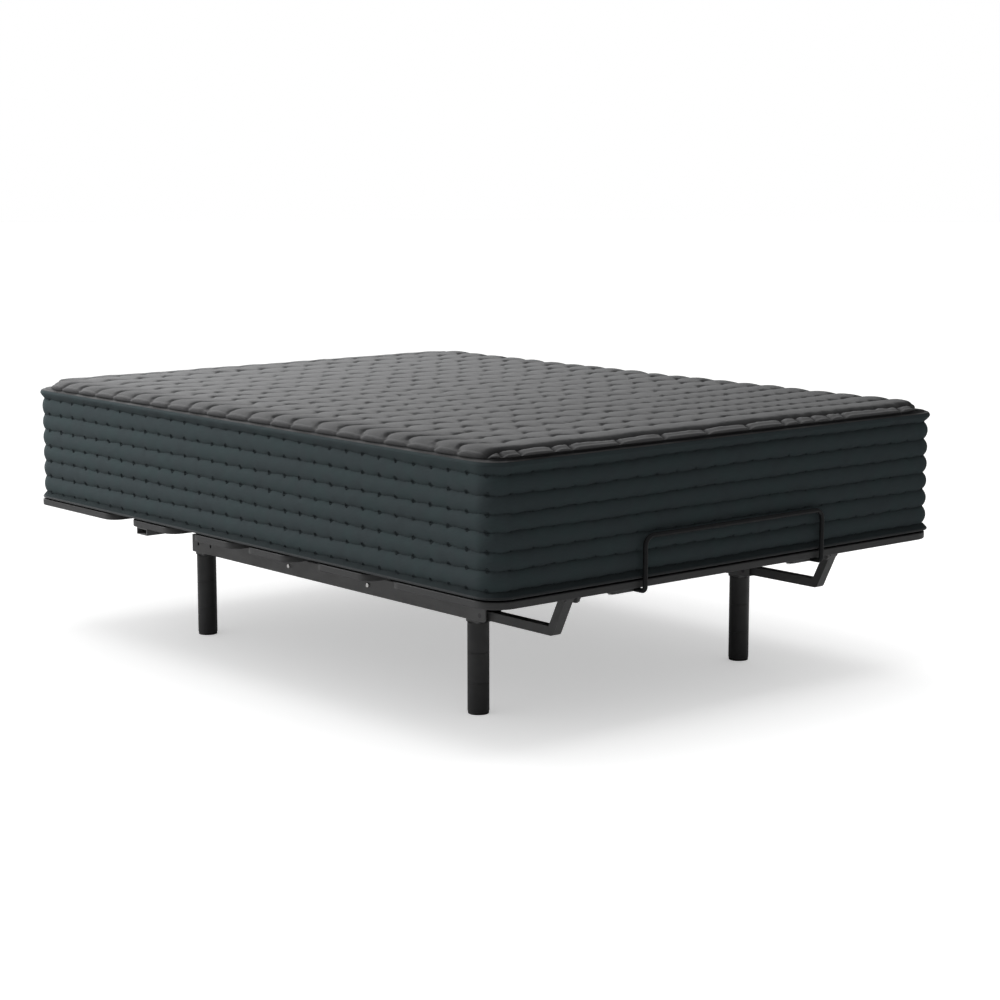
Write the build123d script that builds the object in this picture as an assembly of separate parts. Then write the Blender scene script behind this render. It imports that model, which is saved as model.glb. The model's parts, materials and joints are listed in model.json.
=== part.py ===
from build123d import *
import os
from math import sin, cos, asin, atan2, radians, degrees, hypot

# ------------------------------------------------------------------
# Queen-size powered bed: four-section deck on a two-rail base, with
# its mattress.  Millimetres, +Z up, floor at Z = 0, foot end at -Y.
# ------------------------------------------------------------------

# overall
DECK_HALF_W = 755.0          # half width of the deck panels
DECK_HEAD_Y = 1010.0         # head edge of the deck
DECK_FOOT_Y = -1012.0        # foot edge of the deck
Y_SHIFT = 8.5                # puts the origin under the middle of the box

# heights
LEG_TOP_Z = 229.0            # top of the legs
RAIL_Z0, RAIL_Z1 = 235.0, 285.0
TUBE_Z0, TUBE_Z1 = 334.0, 354.0   # section frame tubes
PANEL_Z0, PANEL_Z1 = 354.0, 372.0 # deck panels
MATT_Z0, MATT_Z1 = 372.0, 716.0   # mattress

# main rails
RAIL_X = 455.0               # rail centre line
RAIL_W = 50.0
RAIL_WALL = 3.0
RAIL_HEAD_Y, RAIL_FOOT_Y = 630.0, -657.0

# legs
LEG_X, LEG_Y = 455.0, 600.0
LEG_R = 27.0
LEG_SEAMS = (7.0, 78.0, 153.5, 229.0)

# deck panels along the bed
P_HEAD = (605.0, 1010.0)
P_LUMBAR = (304.0, 521.0)
P_SEAT = (12.0, 216.0)
P_THIGH = (-235.0, -32.0)
P_CALF = (-557.0, -330.0)
P_FOOT = (-1012.0, -630.0)
PANEL_CORNER = 40.0
FOOT_CORNER = 65.0

# section hinges (along the bed, height)
HINGE_Z = 344.0
BACK_HINGE_Y = 260.0
THIGH_HINGE_Y = -10.0
KNEE_Y = -282.0
PIN_R = 6.0
RUN_CLEAR = 0.08             # radial clearance of a running pivot

# section frame tubes
TUBE_X0, TUBE_X1 = 398.0, 428.0
TUBE_WALL = 2.0

# foot links
LINK_E = (-635.0, 251.0)     # pivot in the rail end
LINK_C = (-878.0, 251.0)     # bend
LINK_D = (-920.0, 336.0)     # pivot under the foot panel
LINK_X0, LINK_X1 = 442.0, 468.0
LINK_HALF = 11.0

# lift tubes
LIFT_Z = 262.0
HEAD_LIFT_Y, HEAD_ARM = 205.0, 288.0
FOOT_LIFT_Y, FOOT_ARM = 60.0, 290.0
LIFT_R = 16.0
ROLLER_R = 20.0
ROLLER_GAP = 0.5
LEVER = 90.0
LEVER_LEAN = 10.0            # lever leans back from straight down
HEAD_ACT_X, FOOT_ACT_X = 80.0, -80.0
HEAD_ACT_REAR = (-400.0, 240.0)
FOOT_ACT_REAR = (515.0, 235.0)

# mattress retainer
BAR_R = 6.0
BAR_X = 303.0
BAR_Y = -1023.0
BAR_Z0, BAR_Z1 = 347.0, 476.0

# mattress
MATT_HALF_W = 757.0
MATT_HALF_L = 1012.0
MATT_CORNER = 62.0
MATT_WALL = 15.0

nodes = {}


def put(name, *solids):
    flat = []
    for s in solids:
        if isinstance(s, (list, tuple)):
            flat.extend(s)
        else:
            flat.append(s)
    out = []
    for s in flat:
        out.extend(s.solids())
    nodes.setdefault(name, []).extend(out)


def box(x0, x1, y0, y1, z0, z1):
    return Pos((x0 + x1) / 2, (y0 + y1) / 2, (z0 + z1) / 2) * Box(
        abs(x1 - x0), abs(y1 - y0), abs(z1 - z0))


def cx(r, x0, x1, y, z):
    return Pos((x0 + x1) / 2, y, z) * Rot(0, 90, 0) * Cylinder(r, abs(x1 - x0))


def cy(r, y0, y1, x, z):
    return Pos(x, (y0 + y1) / 2, z) * Rot(90, 0, 0) * Cylinder(r, abs(y1 - y0))


def cz(r, z0, z1, x, y):
    return Pos(x, y, (z0 + z1) / 2) * Cylinder(r, abs(z1 - z0))


def hexx(af, x0, x1, y, z):
    return extrude(Plane.YZ.offset(min(x0, x1)) * Pos(y, z) * RegularPolygon(
        af / 2, 6, major_radius=False), amount=abs(x1 - x0), dir=(1, 0, 0))


def plate_x(pts, x0, x1):
    return extrude(Plane.YZ.offset(min(x0, x1)) * Polygon(*pts, align=None),
                   amount=abs(x1 - x0), dir=(1, 0, 0))


def bar_x(p, q, hp, hq, x0, x1):
    """Flat bar in a Y-Z plane from p to q, half widths hp and hq, round ends."""
    dy, dz = q[0] - p[0], q[1] - p[1]
    d = hypot(dy, dz)
    n = (-dz / d, dy / d)
    pts = [(p[0] + n[0] * hp, p[1] + n[1] * hp), (q[0] + n[0] * hq, q[1] + n[1] * hq),
           (q[0] - n[0] * hq, q[1] - n[1] * hq), (p[0] - n[0] * hp, p[1] - n[1] * hp)]
    s = plate_x(pts, x0, x1)
    if hp:
        s = s + cx(hp, x0, x1, *p)
    if hq:
        s = s + cx(hq, x0, x1, *q)
    return s


def tube_y(x0, x1, y0, y1, z0, z1, wall):
    """Rectangular tube along Y, open at both ends, edges rounded outside."""
    o = box(x0, x1, y0, y1, z0, z1)
    o = fillet(o.edges().filter_by(Axis.Y), min(3.0, wall * 1.4))
    return o - box(x0 + wall, x1 - wall, y0 - 1, y1 + 1, z0 + wall, z1 - wall)


def tube_x(x0, x1, y0, y1, z0, z1, wall):
    o = box(x0, x1, y0, y1, z0, z1)
    return o - box(x0 - 1, x1 + 1, y0 + wall, y1 - wall, z0 + wall, z1 - wall)


def side(s, a, b):
    """X span on one side of the bed: s = -1 near side, +1 far side."""
    return (min(s * a, s * b), max(s * a, s * b))


def panel(y0, y1, r0, r1):
    """Deck panel with plan corner radii r0 at the foot side, r1 at the head side."""
    sk = Pos(0, (y0 + y1) / 2) * Rectangle(2 * DECK_HALF_W, y1 - y0)
    v = sk.vertices().sort_by(Axis.Y)
    foot, head = v[:2], v[2:]
    sk = fillet(foot, r0)
    v = sk.vertices().sort_by(Axis.Y)
    sk = fillet(v[-2:], r1)
    p = extrude(Plane.XY.offset(PANEL_Z0) * sk, amount=PANEL_Z1 - PANEL_Z0)
    rim = p.faces().sort_by(Axis.Z)
    edges = rim[0].edges() + rim[-1].edges()
    return fillet(edges, 3.0)


SIDES = (-1, 1)

# ------------------------------------------------------------------ rails
for s, name in ((-1, "side_rail_left"), (1, "side_rail_right")):
    x0, x1 = side(s, RAIL_X - RAIL_W / 2, RAIL_X + RAIL_W / 2)
    rail = tube_y(x0, x1, RAIL_FOOT_Y, RAIL_HEAD_Y, RAIL_Z0, RAIL_Z1, RAIL_WALL)
    # rounded lower corner at the foot end
    cr = 13.0
    corner = box(x0 - 1, x1 + 1, RAIL_FOOT_Y - 1, RAIL_FOOT_Y + cr, RAIL_Z0 - 1, RAIL_Z0 + cr)
    corner -= cx(cr, x0 - 2, x1 + 2, RAIL_FOOT_Y + cr, RAIL_Z0 + cr)
    rail -= corner
    xo = s * (RAIL_X + RAIL_W / 2)
    xi = s * (RAIL_X - RAIL_W / 2)
    # two headboard bracket holes in the outer wall
    for y in (540.0, 602.0):
        rail -= cx(4.5, *side(s, abs(xo) - RAIL_WALL - 1, abs(xo) + 1), y, 260.0)
    # foot link pivot through both walls
    rail -= cx(PIN_R + 0.05, x0 - 1, x1 + 1, *LINK_E)
    # cross rail bolts
    for y in (159.0, -191.0):
        rail -= cx(3.2, x0 - 1, x1 + 1, y, 260.0)
    # lift tube pivots in the inner wall
    for y in (HEAD_LIFT_Y, FOOT_LIFT_Y):
        rail -= cx(8.05, *side(s, abs(xi) - 1, abs(xi) + RAIL_WALL + 1), y, LIFT_Z)
    # leg studs in the lower wall
    for y in (-LEG_Y, LEG_Y):
        rail -= cz(5.2, RAIL_Z0 - 1, RAIL_Z0 + RAIL_WALL + 1, s * LEG_X, y)
    put(name, rail)

# plastic caps in the head ends of the rails
for s in SIDES:
    x0, x1 = side(s, RAIL_X - RAIL_W / 2, RAIL_X + RAIL_W / 2)
    cap = box(x0 + 1, x1 - 1, RAIL_HEAD_Y, RAIL_HEAD_Y + 4, RAIL_Z0 + 1, RAIL_Z1 - 1)
    cap += box(x0 + 3.2, x1 - 3.2, RAIL_HEAD_Y - 16, RAIL_HEAD_Y, RAIL_Z0 + 3.2, RAIL_Z1 - 3.2)
    put("rail_end_caps", cap)

# cross rails between the side rails
XI = RAIL_X - RAIL_W / 2
put("cross_rails", tube_x(-XI, XI, 545, 595, 240, 280, 2.5))
put("cross_rails", tube_x(-XI, XI, -505, -455, 240, 280, 2.5))
for y in (159.0, -191.0):
    tie = box(-XI, XI, y - 12.5, y + 12.5, 247.5, 272.5)
    tie -= box(-XI + 30, XI - 30, y - 10.5, y + 10.5, 249.5, 270.5)
    for s in SIDES:
        tie -= cx(3.2, *side(s, XI - 31, XI + 1), y, 260.0)
    put("tie_rails", tie)
    for s in SIDES:
        xo = s * (RAIL_X + RAIL_W / 2)
        bolt = cx(3.0, *side(s, XI - 26, RAIL_X + RAIL_W / 2), y, 260.0)
        bolt += hexx(10, *side(s, RAIL_X + RAIL_W / 2, RAIL_X + RAIL_W / 2 + 4), y, 260.0)
        put("frame_bolts", bolt)

# ------------------------------------------------------------------ legs
for s in SIDES:
    for y in (-LEG_Y, LEG_Y):
        x = s * LEG_X
        pl = box(x - 23, x + 23, y - 23, y + 23, LEG_TOP_Z, RAIL_Z0)
        pl = fillet(pl.edges().filter_by(Axis.Z), 6)
        put("leg_plates", pl - cz(5.2, LEG_TOP_Z - 1, RAIL_Z0 + 1, x, y))
        for i in range(3):
            z0, z1 = LEG_SEAMS[i], LEG_SEAMS[i + 1]
            seg = cz(LEG_R, z0, z1, x, y)
            seg = chamfer(seg.edges().filter_by(GeomType.CIRCLE), 0.6)
            seg -= cz(LEG_R - 2.0, z0 + 6, z1 - 6, x, y)
            seg -= cz(5.2, z0 + (3 if i == 0 else -1), z1 + 1, x, y)
            put("leg_segments", seg)
        pad = cz(LEG_R - 1.0, 0, 7, x, y)
        pad = fillet(pad.edges().group_by(Axis.Z)[0], 1.5)
        put("leg_pads", pad)
        # threaded studs that screw the segments to each other and to the rail
        put("leg_studs", cz(5.0, 205, 248, x, y) + cz(9.0, RAIL_Z0 + 3, RAIL_Z0 + 11, x, y),
            cz(5.0, 134, 172, x, y), cz(5.0, 60, 97, x, y))

# ------------------------------------------------------------------ seat
put("seat_panel", panel(*P_SEAT, PANEL_CORNER, PANEL_CORNER))
for s in SIDES:
    x0, x1 = side(s, XI, XI + 6)
    pl = plate_x([(-4, RAIL_Z1), (234, RAIL_Z1), (BACK_HINGE_Y + 4, HINGE_Z - 10),
                  (BACK_HINGE_Y, PANEL_Z0), (THIGH_HINGE_Y, PANEL_Z0),
                  (THIGH_HINGE_Y - 4, HINGE_Z - 10)], x0, x1)
    pl += cx(10, x0, x1, BACK_HINGE_Y, HINGE_Z) + cx(10, x0, x1, THIGH_HINGE_Y, HINGE_Z)
    for y in (BACK_HINGE_Y, THIGH_HINGE_Y):
        pl -= cx(PIN_R + 0.05, x0 - 1, x1 + 1, y, HINGE_Z)
        pin = cx(PIN_R, *side(s, TUBE_X0 - 3.4, XI + 12), y, HINGE_Z)
        pin += cx(9.0, *side(s, XI + 6, XI + 12), y, HINGE_Z)
        # thin clip at the inner end, clear of the lift arms that swing past
        pin += cx(9.0, *side(s, TUBE_X0 - 3.4, TUBE_X0 - 1), y, HINGE_Z)
        put("frame_pivot_pins", pin)
    # lightening hole
    pl -= cx(16, x0 - 1, x1 + 1, 114, 318)
    # flange along the top that carries the seat panel
    pl += box(*side(s, XI + 5, XI + 40), 24, 204, PANEL_Z0 - 3, PANEL_Z0)
    put("hinge_plates", pl)

# control box and power supply hung under the seat panel
def case(x0, x1, y0, y1, z0, z1):
    c = box(x0, x1, y0, y1, z0, z1)
    c = fillet(c.edges().filter_by(Axis.Z), 8)
    c = fillet(c.faces().sort_by(Axis.Z)[0].edges(), 4)
    c -= box(x0 + 3, x1 - 3, y0 + 3, y1 - 3, z0 + 3, z1 - 3)
    # fixing tabs with one screw each
    for x, xa, xb in ((x0 - 12, x0 - 24, x0 + 1), (x1 + 12, x1 - 1, x1 + 24)):
        c += box(xa, xb, 103, 127, z1 - 3, z1)
        c -= cz(2.6, z1 - 4, z1 + 1, x, 115)
        put("frame_bolts", cz(2.5, z1 - 5, z1, x, 115) + cz(4.5, z1 - 6, z1 - 3, x, 115))
    return c


ctrl = case(130, 290, 62, 168, 310, 354)
for i in range(4):
    ctrl -= box(150 + 32 * i, 168 + 32 * i, 60, 66, 322, 334)
put("control_box", ctrl)
put("control_board", box(142, 278, 74, 156, 328, 330))
psu = case(-290, -140, 70, 160, 306, 354)
psu -= box(-232, -204, 68, 74, 318, 338)
put("power_supply", psu)

# ------------------------------------------------------------------ back section
put("back_panel_head", panel(*P_HEAD, PANEL_CORNER, PANEL_CORNER))
put("back_panel_lumbar", panel(*P_LUMBAR, PANEL_CORNER, PANEL_CORNER))


def section_tube(s, y0, y1, hinges):
    """Side tube of one section, round eye ends on the hinge axes listed."""
    x0, x1 = side(s, TUBE_X0, TUBE_X1)
    t = box(x0, x1, y0, y1, TUBE_Z0, TUBE_Z1)
    for y in hinges:
        t += cx((TUBE_Z1 - TUBE_Z0) / 2, x0, x1, y, HINGE_Z)
    t -= box(x0 + TUBE_WALL, x1 - TUBE_WALL, y0 + 6, y1 - 6, TUBE_Z0 + TUBE_WALL,
             TUBE_Z1 - TUBE_WALL)
    for y in hinges:
        t -= cx(PIN_R + RUN_CLEAR, x0 - 1, x1 + 1, y, HINGE_Z)
    return t


for s in SIDES:
    put("back_frame", section_tube(s, BACK_HINGE_Y, 985, [BACK_HINGE_Y]))
put("back_frame", tube_x(-TUBE_X0, TUBE_X0, 428, 478, 336, 354, 2.0),
    tube_x(-TUBE_X0, TUBE_X0, 640, 680, 334, 354, 2.0),
    tube_x(-TUBE_X0, TUBE_X0, 945, 985, 334, 354, 2.0))
# outriggers that carry the panel edges beside the lift track
for s in SIDES:
    put("back_outriggers", tube_x(*side(s, TUBE_X1, 753), 428, 478, 336, 354, 2.0))

# ------------------------------------------------------------------ thigh section
put("thigh_panel", panel(*P_THIGH, PANEL_CORNER, PANEL_CORNER))
for s in SIDES:
    put("thigh_frame", section_tube(s, KNEE_Y, THIGH_HINGE_Y, [THIGH_HINGE_Y, KNEE_Y]))
    pin = cx(PIN_R, *side(s, TUBE_X0 - 6, TUBE_X1 + 12), KNEE_Y, HINGE_Z)
    pin += cx(9.0, *side(s, TUBE_X1 + 7, TUBE_X1 + 12), KNEE_Y, HINGE_Z)
    pin += cx(9.0, *side(s, TUBE_X0 - 6, TUBE_X0 - 1), KNEE_Y, HINGE_Z)
    put("knee_pins", pin)
put("thigh_frame", tube_x(-TUBE_X0, TUBE_X0, -150, -110, 336, 354, 2.0))

# ------------------------------------------------------------------ foot section
put("calf_panel", panel(*P_CALF, PANEL_CORNER, PANEL_CORNER))
put("foot_panel", panel(*P_FOOT, FOOT_CORNER, PANEL_CORNER))
FT0, FT1 = -885.0, -300.0
for s in SIDES:
    put("foot_frame", section_tube(s, FT0, FT1, []))
    x0, x1 = side(s, TUBE_X1, TUBE_X1 + 6)
    # knee plate
    kp = box(x0, x1, -360, KNEE_Y, TUBE_Z0, TUBE_Z1) + cx(10, x0, x1, KNEE_Y, HINGE_Z)
    put("foot_frame_plates", kp - cx(PIN_R + RUN_CLEAR, x0 - 1, x1 + 1, KNEE_Y, HINGE_Z))
    # slotted lug for the foot link
    lug = plate_x([(-830, 354), (-936, 354), (-936, 326), (-928, 321), (-898, 321), (-850, 340),
                   (-830, 340)], x0, x1)
    slot = cx(7.8, x0 - 1, x1 + 1, -919.9, 334.8) + cx(7.8, x0 - 1, x1 + 1, -910.9, 334.8)
    slot += box(x0 - 1, x1 + 1, -919.9, -910.9, 327.0, 342.6)
    put("foot_frame_plates", lug - slot)
put("foot_frame", tube_x(-TUBE_X0, TUBE_X0, -470, -430, 336, 354, 2.0),
    tube_x(-TUBE_X0, TUBE_X0, -800, -760, 336, 354, 2.0))

# retainer bar at the foot end
path = FilletPolyline((-BAR_X, -945, BAR_Z0), (-BAR_X, BAR_Y, BAR_Z0), (-BAR_X, BAR_Y, BAR_Z1),
                      (BAR_X, BAR_Y, BAR_Z1), (BAR_X, BAR_Y, BAR_Z0), (BAR_X, -945, BAR_Z0),
                      radius=[10, 24, 24, 10])
rod = sweep(Plane((-BAR_X, -945, BAR_Z0), z_dir=(0, -1, 0)) * Circle(BAR_R), path=path)
put("retainer_bar", rod)
for xs in (-BAR_X, BAR_X):
    br = box(xs - 72, xs + 16, -992, -946, 343, 354)
    br = fillet(br.edges().filter_by(Axis.Z), 4)
    br -= cy(BAR_R + 0.1, -1000, -940, xs, BAR_Z0)
    br -= cz(3.2, 342, 355, xs - 40, -970)
    br -= cz(3.2, 342, 355, xs - 60, -970)
    put("retainer_brackets", br)
    for dx in (-40, -60):
        put("retainer_bolts", cz(3.0, 341, 353.5, xs + dx, -970) +
            extrude(Plane.XY.offset(338) * Pos(xs + dx, -970) * RegularPolygon(5, 6, major_radius=False), amount=5))
    # grub screw that locks the bar in its bracket
    put("retainer_bolts", cx(5.0, xs + 16, xs + 22, -975, 348.5))

# ------------------------------------------------------------------ foot links
for s, name in ((-1, "foot_link_left"), (1, "foot_link_right")):
    x0, x1 = side(s, LINK_X0, LINK_X1)
    lk = bar_x(LINK_E, LINK_C, LINK_HALF, LINK_HALF, x0, x1)
    lk += bar_x(LINK_C, LINK_D, LINK_HALF, LINK_HALF, x0, x1)
    lk += cx(13.0, x0, x1, *LINK_D)
    d = hypot(LINK_D[0] - LINK_C[0], LINK_D[1] - LINK_C[1])
    ux, uz = (LINK_D[0] - LINK_C[0]) / d, (LINK_D[1] - LINK_C[1]) / d
    c1 = (LINK_C[0] + ux * 2, LINK_C[1] + uz * 2)
    d1 = (LINK_D[0] - ux * 20, LINK_D[1] - uz * 20)
    core = plate_x([(LINK_E[0] - 20, LINK_E[1] - 8.5), (LINK_E[0] - 20, LINK_E[1] + 8.5),
                    (LINK_C[0], LINK_C[1] + 8.5), (LINK_C[0], LINK_C[1] - 8.5)],
                   x0 + 2.5, x1 - 2.5)
    n = (-uz * 8.5, ux * 8.5)
    core += plate_x([(c1[0] + n[0], c1[1] + n[1]), (d1[0] + n[0], d1[1] + n[1]),
                     (d1[0] - n[0], d1[1] - n[1]), (c1[0] - n[0], c1[1] - n[1])],
                    x0 + 2.5, x1 - 2.5)
    lk -= core
    lk -= cx(PIN_R + RUN_CLEAR, x0 - 1, x1 + 1, *LINK_E)
    lk -= cx(PIN_R + 0.05, x0 - 1, x1 + 1, *LINK_D)
    put(name, lk)
    # spacers on both sides of the link inside the rail
    put("frame_pivot_pins", cx(PIN_R, *side(s, XI, RAIL_X + RAIL_W / 2), *LINK_E))
    for a, b in ((XI + RAIL_WALL + 0.3, LINK_X0 - 0.3), (LINK_X1 + 0.3, RAIL_X + RAIL_W / 2 - RAIL_WALL - 0.3)):
        put("frame_pivot_pins", cx(10, *side(s, a, b), *LINK_E) -
            cx(PIN_R + 0.05, *side(s, a - 1, b + 1), *LINK_E))
    # upper pin, fixed in the link, with a nut inside the lug
    up = cx(PIN_R, *side(s, TUBE_X1 - 14, LINK_X1 + 1), *LINK_D)
    up += cx(9.0, *side(s, TUBE_X1 + 6.6, LINK_X0), *LINK_D)
    up += hexx(19, *side(s, TUBE_X1 - 10, TUBE_X1 - 1), *LINK_D)
    up += cx(9.5, *side(s, LINK_X1, LINK_X1 + 2.5), *LINK_D)
    put("link_upper_pins", up)

# ------------------------------------------------------------------ lift tubes
def lift(tag, py, arm, hinge_y, d, act_x):
    """Torque tube with two roller arms and one lever; d = +1 lifts the head end."""
    off = HINGE_Z - LIFT_Z
    phi = asin((off - (HINGE_Z - TUBE_Z0) - ROLLER_R - ROLLER_GAP) / arm)
    ry, rz = py + d * arm * cos(phi), LIFT_Z + arm * sin(phi)
    xe = 420.0
    t = cx(LIFT_R, -xe, xe, py, LIFT_Z) - cx(LIFT_R - 2.5, -xe + 38, xe - 38, py, LIFT_Z)
    for s in SIDES:
        t -= cx(8 + RUN_CLEAR, *side(s, xe - 39, xe + 1), py, LIFT_Z)
    put(tag + "_lift_tube", t)
    for s in SIDES:
        x0, x1 = side(s, 386, 394)
        a = bar_x((py, LIFT_Z), (ry, rz), 22.0, 10.5, x0, x1)
        a -= cx(LIFT_R + 0.05, x0 - 1, x1 + 1, py, LIFT_Z)
        a -= cx(5.05, x0 - 1, x1 + 1, ry, rz)
        put(tag + "_lift_arms", a)
        ax = cx(5.0, *side(s, 384, 425), ry, rz) + cx(8.0, *side(s, 382, 386), ry, rz)
        ax += cx(8.0, *side(s, 422.8, 425), ry, rz)
        put(tag + "_lift_pins", ax)
        r = cx(ROLLER_R, *side(s, 400, 422), ry, rz)
        r = fillet(r.edges().filter_by(GeomType.CIRCLE), 2.0)
        r -= cx(5.0 + RUN_CLEAR, *side(s, 399, 423), ry, rz)
        put(tag + "_rollers", r)
        # pivot studs fixed in the rails
        st = cx(8.0, *side(s, xe - 36, XI + 3.5), py, LIFT_Z)
        st += cx(14.0, *side(s, XI - 6, XI), py, LIFT_Z)
        st += cx(12.0, *side(s, XI + RAIL_WALL, XI + RAIL_WALL + 6), py, LIFT_Z)
        put("lift_pivot_studs", st)
    ang = radians(-90 - LEVER_LEAN)
    fy, fz = py + d * LEVER * cos(ang), LIFT_Z + LEVER * sin(ang)
    lv = bar_x((py, LIFT_Z), (fy, fz), 23.0, 12.0, act_x - 4, act_x + 4)
    lv -= cx(LIFT_R + 0.05, act_x - 5, act_x + 5, py, LIFT_Z)
    lv -= cx(5.05, act_x - 5, act_x + 5, fy, fz)
    put(tag + "_lift_arms", lv)
    pin = cx(5.0, act_x - 15, act_x + 15, fy, fz)
    pin += cx(8.0, act_x - 17.5, act_x - 14.5, fy, fz) + cx(8.0, act_x + 14.5, act_x + 17.5, fy, fz)
    put(tag + "_lift_pins", pin)
    return fy, fz


HEAD_PIN = lift("head", HEAD_LIFT_Y, HEAD_ARM, BACK_HINGE_Y, 1, HEAD_ACT_X)
FOOT_PIN = lift("foot", FOOT_LIFT_Y, FOOT_ARM, THIGH_HINGE_Y, -1, FOOT_ACT_X)


# ------------------------------------------------------------------ actuators
def actuator(tag, rear, front, act_x, d):
    """Screw actuator drawn along +Y from its tail pivot, then laid in place."""
    L = hypot(front[0] - rear[0], front[1] - rear[1])
    tilt = degrees(atan2(front[1] - rear[1], d * (front[0] - rear[0])))
    place = Pos(act_x, rear[0], rear[1]) * Rot(0, 0, 0 if d > 0 else 180) * Rot(tilt, 0, 0)
    parts = {}
    hs = box(-32, 52, 20, 140, -32, 32)
    hs = fillet(hs.edges().filter_by(Axis.Y), 10)
    hs = fillet(hs.faces().sort_by(Axis.Y)[-1].edges() + hs.faces().sort_by(Axis.Y)[0].edges(), 4)
    hs -= box(-28, 48, 24, 136, -28, 28)
    hs -= cy(7.0, 130, 150, 0, 0)
    hs -= box(20, 34, 136, 141, -6, 6)
    parts["housing"] = [hs]
    tail = box(-6, 6, 0, 20, -12, 12) + cx(12, -6, 6, 0, 0)
    tail += box(-16, 16, 14, 20, -16, 16)
    tail -= cx(PIN_R + RUN_CLEAR, -7, 7, 0, 0)
    parts["tail_eye"] = [tail]
    mot = cy(15.0, 60, 130, 32, 0) + cy(3.0, 32, 60, 32, 0)
    mot += cy(7.0, 36, 54, 32, 0)
    parts["motor"] = [mot]
    e = L - 72
    tube = cy(19.0, 140, e, 0, 0) - cy(16.0, 139, e - 12, 0, 0) - cy(11.0 + RUN_CLEAR, e - 13, e + 1, 0, 0)
    parts["tube"] = [tube]
    scr = cy(6.0, 30, L - 95, 0, 0) + cy(20.0, 38, 52, 0, 0)
    parts["screw"] = [scr]
    rodp = cy(11.0, 215, L - 52, 0, 0) + cy(15.5, 200, 226, 0, 0)
    rodp -= cy(8.0, 226, L - 60, 0, 0) + cy(6.6, 199, 227, 0, 0)
    parts["rod"] = [rodp]
    # long fork, so that the lever can lean back over the rod
    fk = box(-13, 13, L - 52, L + 14, -14, 14)
    fk = fillet(fk.edges().filter_by(Axis.X).group_by(Axis.Y)[-1], 8)
    fk += box(-13, 13, L - 10, L + 12, -20, 0)
    fk -= box(-5.5, 5.5, L - 42, L + 20, -30, 30)
    sl = 7.4
    slot = cx(sl, -14, 14, L + 0.9, 0) + cx(sl, -14, 14, L + 0.9, -6.0) + box(
        -14, 14, L + 0.9 - sl, L + 0.9 + sl, -6.0, 0)
    fk -= slot
    parts["rod"].append(fk)
    for k, v in parts.items():
        put(tag + "_actuator_" + k, [place * q for q in v])
    # fixed bracket and pin at the tail
    xs = (act_x - 12.5, act_x + 12.5)
    ry, rz = rear
    wall = -455.0 if d > 0 else 545.0
    for a, b in ((act_x - 12.5, act_x - 7.5), (act_x + 7.5, act_x + 12.5)):
        ear = box(a, b, min(ry, wall), max(ry, wall), rz - 14, rz + 14) + cx(14, a, b, ry, rz)
        ear -= cx(PIN_R + 0.05, a - 1, b + 1, ry, rz)
        put("actuator_brackets", ear)
    put("frame_pivot_pins", cx(PIN_R, act_x - 14, act_x + 14, ry, rz) +
        cx(9.0, act_x - 17, act_x - 13, ry, rz) + cx(9.0, act_x + 13, act_x + 17, ry, rz))


actuator("head", HEAD_ACT_REAR, HEAD_PIN, HEAD_ACT_X, 1)
actuator("foot", FOOT_ACT_REAR, FOOT_PIN, FOOT_ACT_X, -1)


# ------------------------------------------------------------------ mattress
def block(y0, y1, head_end=False, foot_end=False):
    sk = Pos(0, (y0 + y1) / 2) * Rectangle(2 * MATT_HALF_W, y1 - y0)
    v = sk.vertices().sort_by(Axis.Y)
    if foot_end:
        sk = fillet(v[:2], MATT_CORNER)
    if head_end:
        sk = fillet(v[2:], MATT_CORNER)
    o = extrude(Plane.XY.offset(MATT_Z0) * sk, amount=MATT_Z1 - MATT_Z0)
    i = box(-MATT_HALF_W + MATT_WALL, MATT_HALF_W - MATT_WALL, y0 + MATT_WALL, y1 - MATT_WALL,
            MATT_Z0 + MATT_WALL, MATT_Z1 - MATT_WALL)
    if head_end:
        i = fillet(i.edges().filter_by(Axis.Z).group_by(Axis.Y)[-1], 45)
    if foot_end:
        i = fillet(i.edges().filter_by(Axis.Z).group_by(Axis.Y)[0], 45)
    return o - i


G = 0.5
put("mattress_back", block(BACK_HINGE_Y + G, MATT_HALF_L, head_end=True))
put("mattress_seat", block(THIGH_HINGE_Y + G, BACK_HINGE_Y - G))
put("mattress_thigh", block(KNEE_Y + G, THIGH_HINGE_Y - G))
put("mattress_foot", block(-MATT_HALF_L, KNEE_Y - G, foot_end=True))

# ------------------------------------------------------------------ write
os.makedirs("parts", exist_ok=True)
for name, solids in nodes.items():
    moved = [Pos(0, Y_SHIFT, 0) * q for q in solids]
    shape = moved[0] if len(moved) == 1 else Compound(children=moved)
    export_step(shape, "parts/" + name + ".step")
print(len(nodes), "nodes")
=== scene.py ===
import json
import math
import bpy
import numpy as np
from mathutils import Matrix, Vector


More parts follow.
